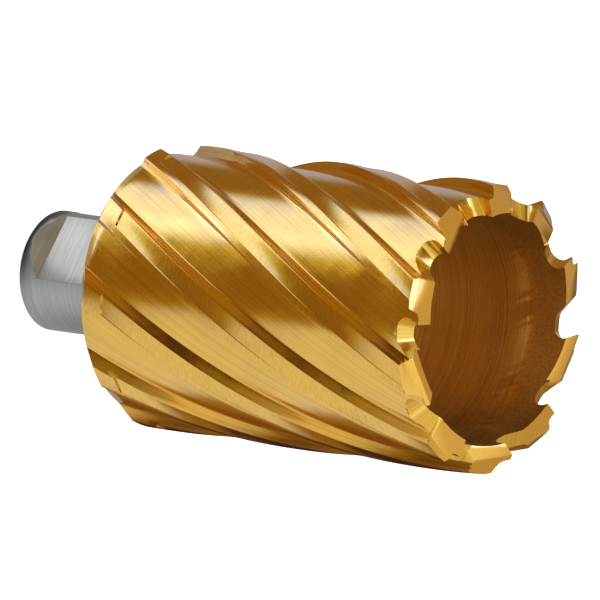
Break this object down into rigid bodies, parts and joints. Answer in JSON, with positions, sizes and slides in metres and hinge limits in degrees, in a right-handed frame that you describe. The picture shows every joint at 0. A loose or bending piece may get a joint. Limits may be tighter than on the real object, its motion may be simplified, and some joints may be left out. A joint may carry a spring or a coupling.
{
  "type": "annular cutter",
  "caption": "Hollow fluted milling cutter with a toothed ring at its open end and a short round shank with clamping flats.",
  "frame": {"origin": "centre of the shank's end face", "axes": "+Z along the tool's axis from the shank towards the teeth; one clamping flat faces -Y and the other -X"},
  "size_m": [0.045, 0.045, 0.0883],
  "materials": {
    "coated_steel": "ground, with a gold nitride coating from the shoulder to the teeth and a bare grey shank"
  },
  "bodies": {
    "root": {"annular_cutter": "coated_steel"}
  },
  "joints": []
}
